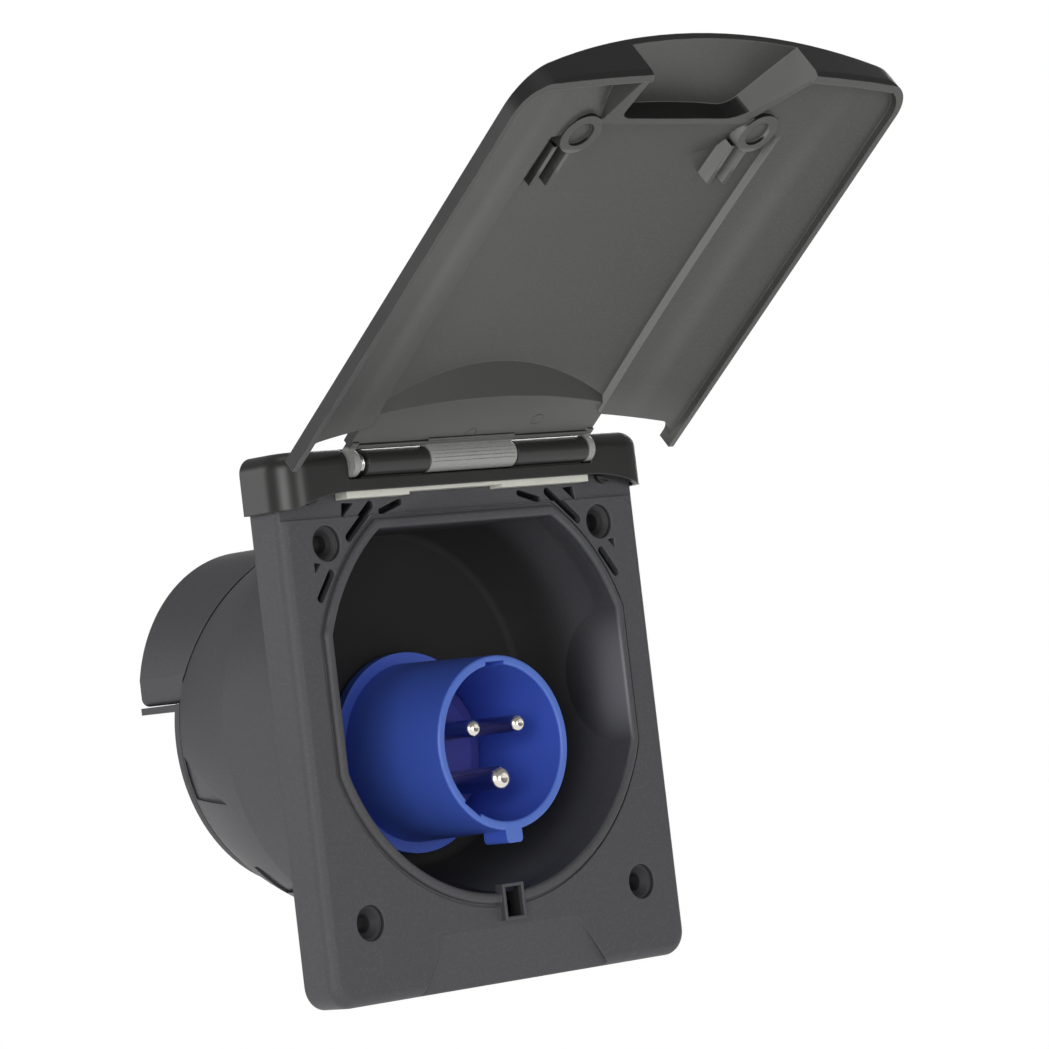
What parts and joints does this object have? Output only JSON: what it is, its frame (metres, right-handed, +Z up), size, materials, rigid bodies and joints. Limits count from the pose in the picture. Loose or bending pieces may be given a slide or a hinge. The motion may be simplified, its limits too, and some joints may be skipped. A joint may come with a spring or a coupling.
{
  "type": "caravan power inlet",
  "caption": "Flush mains inlet for a caravan wall: square plate, round bowl with a blue pin collar, hinged domed lid under a hood, and an arched terminal housing behind",
  "frame": {"origin": "centre of the four fixing holes, on the wall plane", "axes": "X right seen from the front, Y into the wall, Z up"},
  "size_m": [0.145, 0.2266, 0.2461],
  "materials": {
    "frame_plastic": "fine moulded texture",
    "lid_plastic": "fine satin",
    "hood_plastic": "fine satin",
    "blue_plastic": "smooth satin",
    "deep_blue_plastic": "smooth satin",
    "nickel": "polished nickel",
    "steel": "bright",
    "pale_seal": "smooth",
    "foam": "foam",
    "gland_plastic": "smooth"
  },
  "bodies": {
    "housing": {"front_frame": "frame_plastic", "wall_gasket": "foam", "hinge_cover": "hood_plastic", "hood_seal": "pale_seal", "hinge_pin": "steel", "inlet_shroud": "blue_plastic", "contact_carrier": "deep_blue_plastic", "line_pin": "nickel", "neutral_pin": "nickel", "earth_pin": "nickel", "terminal_screws": "steel", "inlet_gasket": "foam", "inlet_nut": "deep_blue_plastic", "rear_cover": "frame_plastic", "closing_plate": "frame_plastic", "closing_plate_screws": "steel", "hood_screws": "steel", "gland_body": "gland_plastic", "gland_locknut": "gland_plastic", "gland_seal": "foam", "gland_nut": "gland_plastic"},
    "cover": {"lid": "lid_plastic"}
  },
  "joints": [
    {"name": "lid_hinge", "type": "hinge", "parent": "housing", "child": "cover", "pos_m": [0, -0.01695, 0.0729], "axis": [1, 0, 0], "range_deg": [0, 127.3]}
  ]
}
